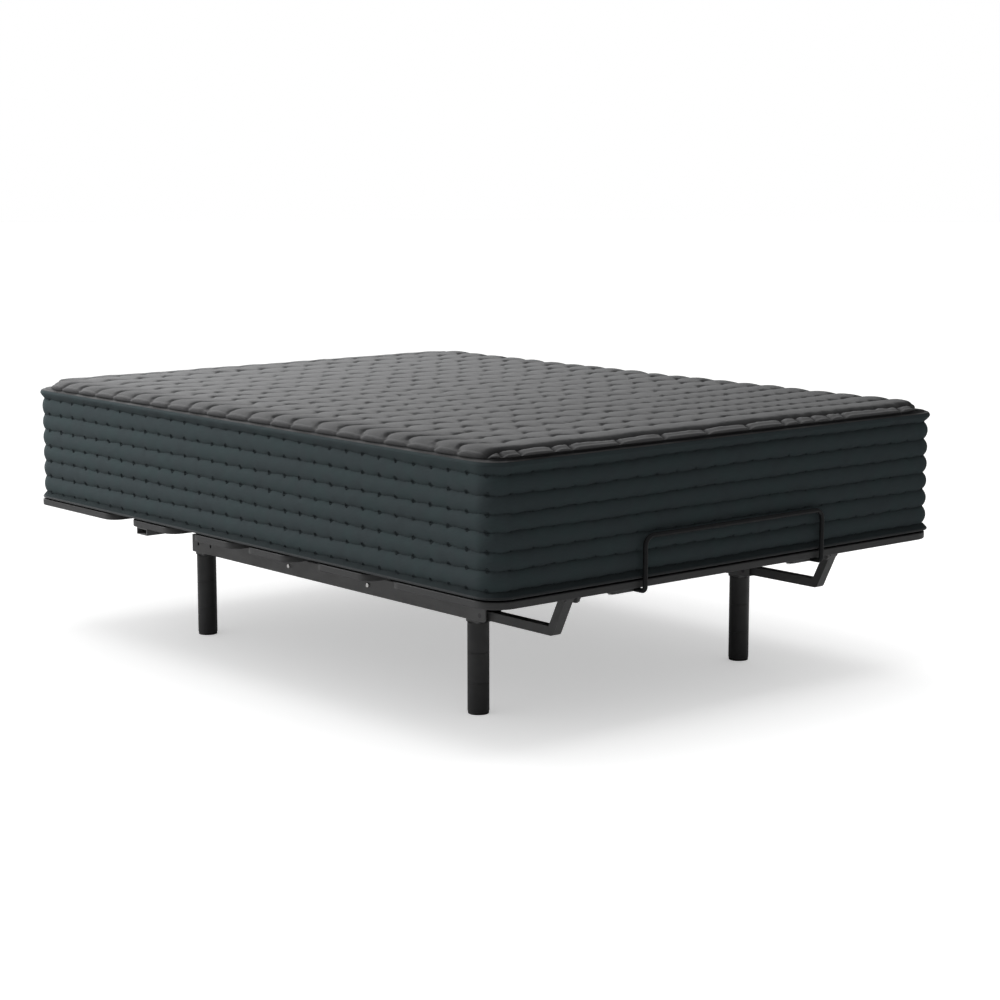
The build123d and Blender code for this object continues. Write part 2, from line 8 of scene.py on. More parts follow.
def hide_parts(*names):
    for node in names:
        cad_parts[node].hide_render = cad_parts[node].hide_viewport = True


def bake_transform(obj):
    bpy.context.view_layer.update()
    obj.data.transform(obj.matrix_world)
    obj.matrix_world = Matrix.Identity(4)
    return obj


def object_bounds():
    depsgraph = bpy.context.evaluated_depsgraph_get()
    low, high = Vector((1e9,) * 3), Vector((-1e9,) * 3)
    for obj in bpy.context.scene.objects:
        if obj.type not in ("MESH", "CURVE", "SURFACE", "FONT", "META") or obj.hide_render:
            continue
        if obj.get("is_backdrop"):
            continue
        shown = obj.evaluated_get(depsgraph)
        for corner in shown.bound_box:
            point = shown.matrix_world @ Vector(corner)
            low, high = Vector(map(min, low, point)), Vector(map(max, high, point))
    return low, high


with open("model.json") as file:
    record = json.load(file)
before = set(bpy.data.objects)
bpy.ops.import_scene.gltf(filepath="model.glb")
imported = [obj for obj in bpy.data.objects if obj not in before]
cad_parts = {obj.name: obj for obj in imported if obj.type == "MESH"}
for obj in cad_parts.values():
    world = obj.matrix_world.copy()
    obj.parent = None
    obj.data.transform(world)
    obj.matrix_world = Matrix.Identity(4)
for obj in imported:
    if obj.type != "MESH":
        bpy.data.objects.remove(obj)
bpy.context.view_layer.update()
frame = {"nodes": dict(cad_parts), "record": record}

scene = bpy.context.scene
MM = 0.001
YS = 8.5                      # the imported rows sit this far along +Y of the measured mattress centre, mm
rng = np.random.default_rng(7)


# =====================================================================
# camera, sky, light
# =====================================================================
AZ, EL = math.radians(40.25), math.radians(-8.89)
cam_data = bpy.data.cameras.new("camera")
cam = bpy.data.objects.new("camera", cam_data)
scene.collection.objects.link(cam)
look = Vector((math.sin(AZ) * math.cos(EL), math.cos(AZ) * math.cos(EL), math.sin(EL)))
cam.location = (-3.93593, -4.7932 + YS * MM, 1.37837)
cam.rotation_mode = "QUATERNION"
cam.rotation_quaternion = look.to_track_quat("-Z", "Y")
cam_data.sensor_width = 36.0
cam_data.lens = 82.53
cam_data.clip_end = 200.0
scene.camera = cam

scene.view_settings.view_transform = "Standard"
scene.view_settings.look = "None"

world = bpy.data.worlds.new("studio")
scene.world = world
world.use_nodes = True
bg = world.node_tree.nodes["Background"]
bg.inputs["Color"].default_value = (1.0, 1.0, 1.0, 1.0)
wn = world.node_tree
wdir = wn.nodes.new("ShaderNodeTexCoord")
side_of = wn.nodes.new("ShaderNodeVectorMath")
side_of.operation = "DOT_PRODUCT"
side_of.inputs[1].default_value = (math.cos(AZ), -math.sin(AZ), 0.0)      # towards the right of the picture
wn.links.new(wdir.outputs["Generated"], side_of.inputs[0])
fall = wn.nodes.new("ShaderNodeMapRange")
fall.interpolation_type = "SMOOTHSTEP"
for socket, v in (("From Min", -0.35), ("From Max", 0.80), ("To Min", 0.84), ("To Max", 0.40)):
    fall.inputs[socket].default_value = v
wn.links.new(side_of.outputs["Value"], fall.inputs["Value"])
wn.links.new(fall.outputs["Result"], bg.inputs["Strength"])


def soft_light(name, at, to, size, watts):
    d = bpy.data.lights.new(name, "AREA")
    d.shape = "RECTANGLE"
    d.size, d.size_y = size
    d.energy = watts
    o = bpy.data.objects.new(name, d)
    scene.collection.objects.link(o)
    o.location = at
    o.rotation_mode = "QUATERNION"
    o.rotation_quaternion = (Vector(to) - Vector(at)).to_track_quat("-Z", "Y")
    return o


key = soft_light("key_left", (-3.0, 2.8, 2.8), (0.0, 0.4, 0.5), (2.6, 2.0), 235.0)
top = soft_light("top_head", (0.5, 3.2, 2.9), (0.0, 0.6, 0.6), (3.2, 2.0), 345.0)
wash = soft_light("floor_wash", (0.0, 0.0, 4.0), (0.0, 0.001, 0.0), (4.5, 4.5), 60.0)


# =====================================================================
# node helpers
# =====================================================================
def new_mat(name):
    m = bpy.data.materials.new(name)
    m.use_nodes = True
    nt = m.node_tree
    nt.nodes.clear()
    out = nt.nodes.new("ShaderNodeOutputMaterial")
    b = nt.nodes.new("ShaderNodeBsdfPrincipled")
    nt.links.new(b.outputs["BSDF"], out.inputs["Surface"])
    return m, nt, b


def node(nt, kind, ins=None, **props):
    n = nt.nodes.new(kind)
    for k, v in props.items():
        setattr(n, k, v)
    for k, v in (ins or {}).items():
        n.inputs[k].default_value = v
    return n


def ramp(nt, src, stops):
    r = node(nt, "ShaderNodeValToRGB")
    cr = r.color_ramp
    while len(cr.elements) < len(stops):
        cr.elements.new(0.5)
    for e, (p, c) in zip(cr.elements, stops):
        e.position = p
        e.color = (*c, 1.0) if len(c) == 3 else c
    nt.links.new(src, r.inputs["Fac"])
    return r.outputs["Color"]


def span(nt, src, lo, hi, a=0.0, b=1.0):
    m = node(nt, "ShaderNodeMapRange", {"From Min": a, "From Max": b, "To Min": lo, "To Max": hi})
    nt.links.new(src, m.inputs["Value"])
    return m.outputs["Result"]


def math2(nt, op, a, b):
    m = node(nt, "ShaderNodeMath", operation=op)
    for i, v in enumerate((a, b)):
        if isinstance(v, (int, float)):
            m.inputs[i].default_value = v
        else:
            nt.links.new(v, m.inputs[i])
    return m.outputs["Value"]


def noise(nt, co, scale, detail=3.0, rough=0.55, stretch=None):
    if stretch:
        mp = node(nt, "ShaderNodeMapping", {"Scale": stretch})
        nt.links.new(co, mp.inputs["Vector"])
        co = mp.outputs["Vector"]
    n = node(nt, "ShaderNodeTexNoise", {"Scale": scale, "Detail": detail, "Roughness": rough})
    nt.links.new(co, n.inputs["Vector"])
    return n.outputs["Fac"]


def bump(nt, b, height, strength, distance):
    n = node(nt, "ShaderNodeBump", {"Strength": strength, "Distance": distance})
    nt.links.new(height, n.inputs["Height"])
    nt.links.new(n.outputs["Normal"], b.inputs["Normal"])


def objco(nt):
    return node(nt, "ShaderNodeTexCoord").outputs["Object"]


def sc(c, k):
    return tuple(min(1.0, x * k) for x in c)


def paint(name, c, rough=0.42, grain=1400.0, depth=0.00012, spec=0.5, patch=0.10):
    """Powder coat: fine orange peel, slow tone drift, dull and worn patches."""
    m, nt, b = new_mat(name)
    co = objco(nt)
    drift = noise(nt, co, 5.0, 6.0, 0.6)
    base = ramp(nt, drift, [(0.30, sc(c, 1 - patch)), (0.52, c), (0.74, sc(c, 1 + patch * 1.3))])
    nt.links.new(base, b.inputs["Base Color"])
    scuff = noise(nt, co, 38.0, 5.0, 0.7, (1.0, 0.35, 1.0))
    nt.links.new(span(nt, scuff, rough - 0.09, rough + 0.13, 0.3, 0.75), b.inputs["Roughness"])
    b.inputs["Specular IOR Level"].default_value = spec
    peel = math2(nt, "ADD", noise(nt, co, grain, 2.0, 0.5), math2(nt, "MULTIPLY", scuff, 0.25))
    bump(nt, b, peel, 0.35, depth)
    return m


def board(name, c):
    """Dark faced board: pressed pore texture along the bed's width, faint cloudy tone."""
    m, nt, b = new_mat(name)
    co = objco(nt)
    cloud = noise(nt, co, 3.2, 5.0, 0.6)
    pores = noise(nt, co, 260.0, 3.0, 0.6, (0.10, 1.0, 1.0))
    mix = math2(nt, "ADD", math2(nt, "MULTIPLY", cloud, 0.6), math2(nt, "MULTIPLY", pores, 0.4))
    nt.links.new(ramp(nt, mix, [(0.30, sc(c, 0.86)), (0.5, c), (0.72, sc(c, 1.16))]), b.inputs["Base Color"])
    nt.links.new(span(nt, pores, 0.46, 0.64, 0.3, 0.7), b.inputs["Roughness"])
    b.inputs["Specular IOR Level"].default_value = 0.32
    bump(nt, b, pores, 0.30, 0.00025)
    return m


def metal(name, c, rough, streak=(1.0, 0.06, 1.0), fine=420.0):
    """Plated or turned steel: tool streaks and a faint cloudy passivation."""
    m, nt, b = new_mat(name)
    co = objco(nt)
    cloud = noise(nt, co, 46.0, 4.0, 0.6)
    line = noise(nt, co, fine, 2.0, 0.5, streak)
    nt.links.new(ramp(nt, cloud, [(0.32, sc(c, 0.86)), (0.55, c), (0.75, sc(c, 1.08))]), b.inputs["Base Color"])
    nt.links.new(span(nt, line, rough - 0.07, rough + 0.12, 0.3, 0.7), b.inputs["Roughness"])
    b.inputs["Metallic"].default_value = 1.0
    bump(nt, b, line, 0.18, 0.00008)
    return m


def plastic(name, c, rough=0.5, grain=900.0, depth=0.00022):
    """Moulded plastic with a spark-eroded grain."""
    m, nt, b = new_mat(name)
    co = objco(nt)
    v = node(nt, "ShaderNodeTexVoronoi", {"Scale": grain})
    nt.links.new(co, v.inputs["Vector"])
    tone = noise(nt, co, 9.0, 4.0, 0.55)
    nt.links.new(ramp(nt, tone, [(0.3, sc(c, 0.90)), (0.7, sc(c, 1.12))]), b.inputs["Base Color"])
    nt.links.new(span(nt, tone, rough - 0.06, rough + 0.08, 0.3, 0.7), b.inputs["Roughness"])
    bump(nt, b, v.outputs["Distance"], 0.35, depth)
    return m


def circuit(name):
    m, nt, b = new_mat(name)
    co = objco(nt)
    br = node(nt, "ShaderNodeTexBrick", {
        "Color1": (0.018, 0.12, 0.05, 1), "Color2": (0.022, 0.15, 0.06, 1), "Mortar": (0.42, 0.30, 0.10, 1),
        "Scale": 70.0, "Mortar Size": 0.03, "Bias": 0.0})
    nt.links.new(co, br.inputs["Vector"])
    nt.links.new(br.outputs["Color"], b.inputs["Base Color"])
    nt.links.new(span(nt, br.outputs["Fac"], 0.35, 0.22), b.inputs["Roughness"])
    bump(nt, b, br.outputs["Fac"], 0.4, 0.0002)
    return m


MATS = {
    "rail_paint": paint("rail_paint", (0.0980, 0.0980, 0.0982), 0.48, spec=0.36),
    "dark_paint": paint("dark_paint", (0.028, 0.0285, 0.0295), 0.44),
    "leg_black": paint("leg_black", (0.0165, 0.0165, 0.0170), 0.38, 1100.0, 0.00016, 0.36),
    "bar_black": paint("bar_black", (0.0070, 0.0075, 0.0081), 0.46, 700.0, 0.00008, 0.14),
    "panel_board": board("panel_board", (0.0262, 0.0264, 0.0268)),
    "zinc": metal("zinc", (0.62, 0.61, 0.60), 0.30),
    "rod_chrome": metal("rod_chrome", (0.72, 0.72, 0.74), 0.14, (1.0, 1.0, 0.1), 300.0),
    "motor_steel": metal("motor_steel", (0.50, 0.50, 0.52), 0.36),
    "case_plastic": plastic("case_plastic", (0.022, 0.022, 0.024), 0.52),
    "nylon": plastic("nylon", (0.62, 0.61, 0.57), 0.42, 500.0, 0.00012),
    "pad_rubber": plastic("pad_rubber", (0.011, 0.011, 0.0115), 0.78, 700.0, 0.0003),
    "board_green": circuit("board_green"),
}
slots = {p["node"]: p["material_slot"] for p in frame["record"]["subparts"]}
for name, o in frame["nodes"].items():
    m = MATS.get(slots[name])
    if m is None:
        continue
    o.data.materials.clear()
    o.data.materials.append(m)
shaded_link_paint = paint("shaded_link_paint", (0.0560, 0.0561, 0.0564), 0.48, spec=0.34)      # painted shade: the foot links get a darker copy of the rail paint, for the shade they stand in under the bed
for name in ("foot_link_left", "foot_link_right"):
    frame["nodes"][name].data.materials[0] = shaded_link_paint


# ---------------------------------------------------------------- fabrics
def fabco(nt):
    return node(nt, "ShaderNodeAttribute", attribute_name="fab").outputs["Vector"]


def attr(nt, name):
    return node(nt, "ShaderNodeAttribute", attribute_name=name).outputs["Fac"]


def wave(nt, co, period, axis, distort=0.0):
    w = node(nt, "ShaderNodeTexWave", {"Scale": 0.31416 / period, "Distortion": distort, "Detail": 1.0},
             wave_type="BANDS", bands_direction=axis)
    nt.links.new(co, w.inputs["Vector"])
    return w.outputs["Fac"]


def knit(name, c, seam_shade_color, wale, course, depth, fleck, sheen, hue=None):
    """Jersey or circular knit: rows and columns of loops, flecked yarn, and painted shade in the sewn seams."""
    m, nt, b = new_mat(name)
    co = fabco(nt)
    loops = math2(nt, "MULTIPLY", wave(nt, co, wale, "X", 0.6), wave(nt, co, course, "Y", 0.6))
    yarn = noise(nt, co, 420.0, 3.0, 0.65)
    cloud = noise(nt, co, 13.0, 5.0, 0.6)
    tone = math2(nt, "ADD", math2(nt, "MULTIPLY", yarn, fleck), math2(nt, "MULTIPLY", cloud, 1.0 - fleck))
    hue = hue or c
    base = ramp(nt, tone, [(0.30, sc(c, 0.84)), (0.47, c), (0.58, sc(hue, 1.0)), (0.74, sc(c, 1.20))])
    lp = node(nt, "ShaderNodeMix", data_type="RGBA", blend_type="MULTIPLY")
    nt.links.new(span(nt, loops, 0.26, 0.0, 0.0, 0.8), lp.inputs["Factor"])
    nt.links.new(base, lp.inputs["A"])
    lp.inputs["B"].default_value = (0.35, 0.35, 0.36, 1.0)
    # painted shade: the colour is mixed towards seam_shade_color by the seam attribute, the shade of seams, creases
    # and undersides
    mx = node(nt, "ShaderNodeMix", data_type="RGBA", blend_type="MIX")
    nt.links.new(attr(nt, "seam"), mx.inputs["Factor"])
    nt.links.new(lp.outputs["Result"], mx.inputs["A"])
    mx.inputs["B"].default_value = (*seam_shade_color, 1.0)
    nt.links.new(mx.outputs["Result"], b.inputs["Base Color"])
    b.inputs["Roughness"].default_value = 0.94
    b.inputs["Specular IOR Level"].default_value = 0.08
    b.inputs["Sheen Weight"].default_value = sheen
    b.inputs["Sheen Roughness"].default_value = 0.55
    h = math2(nt, "ADD", loops, math2(nt, "MULTIPLY", yarn, 0.6))
    bump(nt, b, h, 0.45, depth)
    return m


def webbing(name, c):
    """Woven edge tape: diagonal twill and two lockstitch lines."""
    m, nt, b = new_mat(name)
    co = fabco(nt)
    rot = node(nt, "ShaderNodeMapping", {"Rotation": (0.0, 0.0, math.radians(38))})
    nt.links.new(co, rot.inputs["Vector"])
    twill = wave(nt, rot.outputs["Vector"], 0.0021, "X", 0.4)
    yarn = noise(nt, co, 520.0, 2.0, 0.6)
    tone = math2(nt, "ADD", math2(nt, "MULTIPLY", twill, 0.45), math2(nt, "MULTIPLY", yarn, 0.55))
    nt.links.new(ramp(nt, tone, [(0.25, sc(c, 0.72)), (0.55, c), (0.8, sc(c, 1.25))]), b.inputs["Base Color"])
    b.inputs["Roughness"].default_value = 0.88
    b.inputs["Specular IOR Level"].default_value = 0.25
    b.inputs["Sheen Weight"].default_value = 0.10
    bump(nt, b, tone, 0.5, 0.0005)
    return m


def felt(name, c):
    """Spun-bonded sheet under the mattress: little pressed dots and loose fibres."""
    m, nt, b = new_mat(name)
    co = fabco(nt)
    v = node(nt, "ShaderNodeTexVoronoi", {"Scale": 320.0})
    nt.links.new(co, v.inputs["Vector"])
    fib = noise(nt, co, 180.0, 6.0, 0.75)
    nt.links.new(ramp(nt, fib, [(0.3, sc(c, 0.7)), (0.7, sc(c, 1.4))]), b.inputs["Base Color"])
    b.inputs["Roughness"].default_value = 0.96
    b.inputs["Specular IOR Level"].default_value = 0.15
    bump(nt, b, math2(nt, "ADD", v.outputs["Distance"], fib), 0.4, 0.0004)
    return m


def thread(name, c):
    m, nt, b = new_mat(name)
    co = fabco(nt)
    ply = wave(nt, co, 0.0016, "DIAGONAL", 0.8)
    nt.links.new(ramp(nt, ply, [(0.2, sc(c, 0.7)), (0.8, sc(c, 1.5))]), b.inputs["Base Color"])
    b.inputs["Roughness"].default_value = 0.85
    b.inputs["Specular IOR Level"].default_value = 0.1
    bump(nt, b, ply, 0.5, 0.0002)
    return m


TOP, BORDER, TAPE, UNDER, THREAD = range(5)
# the second colour of each knit is the painted shade of its seams
FABRICS = [
    knit("quilt_knit", (0.0686, 0.0688, 0.0699), (0.0100, 0.0101, 0.0107), 0.0034, 0.0026, 0.0005, 0.45, 0.03),
    knit("border_knit", (0.0326, 0.0419, 0.0450), (0.0084, 0.0113, 0.0122), 0.0024, 0.0030, 0.0004, 0.40, 0.01,
         hue=(0.0305, 0.0434, 0.0452)),
    webbing("edge_tape", (0.0150, 0.0178, 0.0195)),
    felt("underside_felt", (0.020, 0.020, 0.022)),
    thread("tuft_thread", (0.0160, 0.0210, 0.0230)),
]


# =====================================================================
# mattress
# =====================================================================
HX, HY, RC = 762.0, 1016.0, 66.0      # half sizes of the edge tape in plan, corner radius, mm
ROWS = [659.5 - 44.25 * i for i in range(7)]   # stitched rows of the border
VALLEY, BULGE = 15.5, 5.2             # how far the rows and the channels lie inside the tape
GROOVE = 13.0                         # the quilt starts this far inside the tape
Z_BOT = 373.0
SPLIT_BACK, SPLIT_KNEE = 100.0, -230.0

# ---------------------------------------------------------------- quilt
PITCH, FIRST = 91.0, -971.0           # rows of the quilt along Y, and the seam behind the foot roll
# where each wave of the quilting runs: x from, to, y from, to, wavelength, height, step per row, start
ZONES = (
    (-900.0, -590.0, -930.0, 1100.0, 134.0, 25.0, -1.0, -738.0),
    (-590.0, -260.0, -930.0, -420.0, 82.0, 17.5, -12.0, -700.0),
    (-260.0, 160.0, -900.0, -420.0, 84.0, 11.5, 10.0, -250.0),
    (160.0, 900.0, -960.0, -420.0, 49.0, 7.0, -6.0, 160.0),
    (-590.0, -110.0, -420.0, 130.0, 72.0, 17.0, 24.0, -690.0),
    (-110.0, 900.0, -420.0, 130.0, 86.0, 15.0, -2.0, -100.0),
    (-590.0, 900.0, 130.0, 1100.0, 85.0, 15.5, -8.0, -690.0),
)
PINCH = (-710.0, -659.0, -560.0, -508.0, -362.0, -218.0, -77.0, 66.0, 190.0, 245.0, 300.0, 356.0, 410.0, 625.0, 690.0)   # across the foot roll


def inset(x, y):
    """Distance inside the tape line, mm."""
    qx, qy = np.abs(x) - (HX - RC), np.abs(y) - (HY - RC)
    out = np.hypot(np.maximum(qx, 0), np.maximum(qy, 0)) + np.minimum(np.maximum(qx, qy), 0)
    return RC - out


def ease(t):
    t = np.clip(t, 0, 1)
    return t * t * (3 - 2 * t)


def valley(nx):
    """Depth of the stitched rows inside the tape; they are drawn in less along the left side."""
    return VALLEY - 3.6 * ease((0.1 - nx) / 0.6)


def sink(b, r):
    """How much lower the r-th row of the border runs around the left foot corner."""
    return (6.0, 5.5, 3.5, 0.0, 0.0, -1.5, 0.0)[r] * ease((-b[:, 1] - 200.0) / 700.0) * ease((100.0 - b[:, 0]) / 600.0)


def within(v, a, b, fade):
    return ease((v - a) / fade + 0.5) * ease((b - v) / fade + 0.5)


def row_seam(x, k):
    """The k-th seam across the bed: a wave whose length and height change from zone to zone."""
    y = FIRST + PITCH * k
    s = np.zeros_like(x)
    for i, (xa, xb, ya, yb, length, height, step, start) in enumerate(ZONES):
        r = np.random.default_rng(100 * (k + 2) + i)
        u = (2 * np.pi * (x - start - step * k) / length + r.uniform(-0.3, 0.3) * (1.0 if i < 4 else 2.8)
             + (0.45 * np.sin(x / 97.0 + 1.3 * k) + 0.3 * np.sin(x / 41.0 + 2.1 * k)) * (i > 0))
        s = s + (within(x, xa, xb, 150.0) * within(y, ya, yb, 110.0) * height * r.uniform(0.8, 1.2)
                 * np.sin(u + 0.20 * np.sin(u)))
    return y + s + 2.2 * np.sin(x / 171.0 + 0.4 * k)


def seam_distance(x, y):
    """Distance to the nearest quilting seam on the raster."""
    best = np.full(x.shape, 1e9)
    for k in range(-1, 24):
        sy = row_seam(x[0], k)
        best = np.minimum(best, np.abs(y - sy) / np.sqrt(1 + np.gradient(sy, x[0]) ** 2))
    foot = row_seam(x[0], 0)
    for px in PINCH:
        best = np.where(y < foot, np.minimum(best, np.abs(x - px - 0.35 * (y + 990.0))), best)
    return best


STEP = 3.0
gx = np.arange(-768.0, 768.1, STEP)
gy = np.arange(-1023.0, 1023.1, STEP)
GX, GY = np.meshgrid(gx, gy)
E = inset(GX, GY)
D = seam_distance(GX, GY)
fixed = (D < 1.7) | (E < -3.0)

# pillow height: a thin skin under even pressure, held down along the seams and at the tape
U = np.zeros_like(GX)
par = (np.add.outer(np.arange(len(gy)), np.arange(len(gx))) % 2).astype(bool)
for _ in range(150):
    for colour in (par, ~par):
        nb = np.zeros_like(U)
        nb[1:-1, 1:-1] = 0.25 * (U[2:, 1:-1] + U[:-2, 1:-1] + U[1:-1, 2:] + U[1:-1, :-2] + STEP * STEP)
        U = np.where(colour & ~fixed, U + 1.86 * (nb - U), U)
U = np.maximum(U, 0.0)
UREF = np.percentile(U[~fixed], 97)
PUFF = 11.6
inner = ease((E - 80.0) / 230.0)          # the middle of the top is flatter than its edges
H = PUFF * (1 - 0.30 * inner) * np.minimum((U / UREF), 1.25) ** 0.36


def smooth2(a, n=1):
    for _ in range(n):
        p = np.pad(a, 1, mode="edge")
        a = (p[1:-1, 1:-1] * 4 + 2 * (p[2:, 1:-1] + p[:-2, 1:-1] + p[1:-1, 2:] + p[1:-1, :-2])
             + p[2:, 2:] + p[:-2, :-2] + p[2:, :-2] + p[:-2, 2:]) / 16.0
    return a


H = smooth2(H, 1)


def value_noise(cell, seed):
    """Smooth random field on the raster, about -1 to 1, features of about `cell` mm."""
    r = np.random.default_rng(seed)
    ny, nx = int(2046 / cell) + 4, int(1536 / cell) + 4
    g = r.uniform(-1, 1, (ny, nx))
    fy, fx = (GY + 1023.0) / cell + 1, (GX + 768.0) / cell + 1
    iy, ix = fy.astype(int), fx.astype(int)
    ty, tx = fy - iy, fx - ix
    ty, tx = ty * ty * (3 - 2 * ty), tx * tx * (3 - 2 * tx)
    return ((g[iy, ix] * (1 - tx) + g[iy, ix + 1] * tx) * (1 - ty)
            + (g[iy + 1, ix] * (1 - tx) + g[iy + 1, ix + 1] * tx) * ty)


puffy = 1.0 + 0.10 * value_noise(120.0, 3) + 0.06 * value_noise(55.0, 4)
crinkle = (0.85 * value_noise(17.0, 5) + 0.65 * value_noise(9.0, 6)) * np.exp(-((D - 7.0) / 9.0) ** 2)
soft = 0.55 * value_noise(34.0, 8)
far_t = np.clip((E - 13.0) / 50.0, 0, 1)
BASE = 689.6 + 12.6 * (1 - (1 - far_t) ** 2.2)
foot_roll = np.abs(GY - row_seam(gx, 0))
for px in PINCH:
    foot_roll = np.where(GY < row_seam(gx, 0), np.minimum(foot_roll, np.abs(GX - px - 0.35 * (GY + 990.0))), foot_roll)
BASE = BASE - 3.6 * np.exp(-(foot_roll / 6.5) ** 2)       # the roll along the foot edge is sewn down harder
ZTOP = BASE + H * puffy + (crinkle + soft) * np.clip(H / 4.0, 0, 1)
# painted shade: the quilting seams and the foot roll's seams are darkened where shade falls in them, more towards the
# edges
QUILT_SHADE = np.maximum(np.exp(-(D / 2.6) ** 1.6) * (0.72 - 0.60 * inner), np.exp(-(foot_roll / 4.0) ** 2) * 0.95)
QUILT_SHADE = QUILT_SHADE + (1 - QUILT_SHADE) * 0.44 * (1 - ease((HX - np.abs(GX) - 8.0) / 150.0))      # painted shade, darker along the long edges


def sample(field, x, y):
    fx, fy = (np.asarray(x) + 768.0) / STEP, (np.asarray(y) + 1023.0) / STEP
    ix = np.clip(fx.astype(int), 0, len(gx) - 2)
    iy = np.clip(fy.astype(int), 0, len(gy) - 2)
    tx, ty = fx - ix, fy - iy
    return ((field[iy, ix] * (1 - tx) + field[iy, ix + 1] * tx) * (1 - ty)
            + (field[iy + 1, ix] * (1 - tx) + field[iy + 1, ix + 1] * tx) * ty)


# ---------------------------------------------------------------- boundary loop
IX, IY = HX - RC, HY - RC
CELL = 3.4


def cuts(a, b):
    n = max(1, int(round((b - a) / CELL)))
    return np.linspace(a, b, n + 1)


xs = cuts(-IX, IX)
ys = np.concatenate([cuts(-IY, SPLIT_KNEE)[:-1], cuts(SPLIT_KNEE, SPLIT_BACK)[:-1], cuts(SPLIT_BACK, IY)])
NX, NY, NC = len(xs), len(ys), 18

base, nrm = [], []


def side_pts(px, py, n):
    base.extend(zip(px, py))
    nrm.extend([n] * len(px))


def arc_pts(cxy, a0):
    for i in range(1, NC):
        a = math.radians(a0 + 90.0 * i / NC)
        base.append(cxy)
        nrm.append((math.cos(a), math.sin(a)))


side_pts(xs, np.full(NX, -IY), (0.0, -1.0))
i_foot = 0
arc_pts((IX, -IY), -90.0)
i_right = len(base)
side_pts(np.full(NY, IX), ys, (1.0, 0.0))
arc_pts((IX, IY), 0.0)
i_head = len(base)
side_pts(xs[::-1], np.full(NX, IY), (0.0, 1.0))
arc_pts((-IX, IY), 90.0)
i_left = len(base)
side_pts(np.full(NY, -IX), ys[::-1], (-1.0, 0.0))
arc_pts((-IX, -IY), 180.0)
base, nrm = np.array(base), np.array(nrm)
NL = len(base)
rim = base + nrm * (RC - 6.0)
S = np.concatenate([[0.0], np.cumsum(np.hypot(*(np.diff(rim, axis=0).T)))])
PERIM = S[-1] + np.hypot(*(rim[0] - rim[-1]))
N_TUFT = int(round(PERIM / 64.0))
TUFT = PERIM / N_TUFT

# index into the inner grid of each loop point's base
ixg = np.rint(np.interp(base[:, 0], xs, np.arange(NX))).astype(int)
iyg = np.rint(np.interp(base[:, 1], ys, np.arange(NY))).astype(int)
base_id = iyg * NX + ixg

verts, fab, seam, quads, ngons, fmat, nmat = [], [], [], [], [], [], []
count = 0


def add_verts(p, f, s):
    global count
    verts.append(np.asarray(p, float))
    fab.append(np.asarray(f, float))
    seam.append(np.broadcast_to(np.asarray(s, float), (len(p),)).copy())
    first = count
    count += len(p)
    return first


def ring_quads(a, b, m):
    """Quads between loop a (nearer the top's middle) and loop b, both arrays of NL vertex ids."""
    q = np.stack([a, b, np.roll(b, -1), np.roll(a, -1)], 1)
    same = q[:, 0] == q[:, 3]
    quads.append(q[~same])
    fmat.append(np.full((~same).sum(), m))
    for r in q[same]:
        ngons.append([int(r[0]), int(r[1]), int(r[2])])
        nmat.append(m)


# inner field of the top
XG, YG = np.meshgrid(xs, ys)
x, y = XG.ravel(), YG.ravel()
add_verts(np.stack([x, y, sample(ZTOP, x, y)], 1), np.stack([x, y, 0 * x], 1), sample(QUILT_SHADE, x, y))
g = np.arange(NX * NY).reshape(NY, NX)
quads.append(np.stack([g[:-1, :-1], g[:-1, 1:], g[1:, 1:], g[1:, :-1]], -1).reshape(-1, 4))
fmat.append(np.full(len(quads[-1]), TOP))

# rings of the top, then the rounded nose of each pillow, which rolls over the flange and tucks back under
def top_ring(e, z, tone):
    global prev
    p = base + nrm * np.broadcast_to(RC - e, (NL,))[:, None]
    first = add_verts(np.column_stack([p, z]), np.column_stack([p, -z]), tone)
    ids = first + np.arange(NL)
    ring_quads(prev, ids, TOP)
    prev = ids


# the quilt is rounder in plan than the tape, so the flange stands free at the corners
R_QUILT = 130.0
far = np.abs(base + nrm * RC) - (HX - R_QUILT, HY - R_QUILT)
pull = np.maximum(np.hypot(*np.maximum(far, 0).T) - R_QUILT, 0) * np.where((base[:, 0] < 0) & (base[:, 1] < 0), 0.25, 1.0)

prev = base_id
EDGE = (62.2, 58.4, 54.6, 50.8, 47.0, 43.2, 39.4, 35.6, 32.0, 28.6, 25.4, 22.4, 20.0)
for e in EDGE:
    x, y = (base + nrm * (RC - e)).T
    top_ring(e + pull * (62.2 - e) / 42.2, sample(ZTOP, x, y) - 0.2 * pull * (62.2 - e) / 42.2, sample(QUILT_SHADE, x, y))
crest, tone = sample(ZTOP, x, y), sample(QUILT_SHADE, x, y)
Z_TUCK = 687.3 + 0.7 * np.sin(S / 61.0) * np.sin(S / 147.0 + 1.0) + 4.6 * ease((-nrm[:, 1] - 0.3) / 0.5)
crest = np.maximum(crest - 0.2 * pull, Z_TUCK + 1.0)
full = np.clip((crest - 689.0) / 13.0, 0.05, 1.1)
tall, deep = (crest - Z_TUCK) / (1 + math.sin(math.radians(52))), 2.5 + 8.5 * full
NOSE = (78, 62, 46, 30, 14, -4, -22, -40, -52)
for a in NOSE:
    c, sn = math.cos(math.radians(a)), math.sin(math.radians(a))
    # painted shade under the nose: its downward-facing rings are darkened
    top_ring(20.0 + pull - deep * c, crest - tall * (1 - sn), np.maximum(tone, 0.0 if a > -10 else (-10 - a) / 42.0 * 0.8))

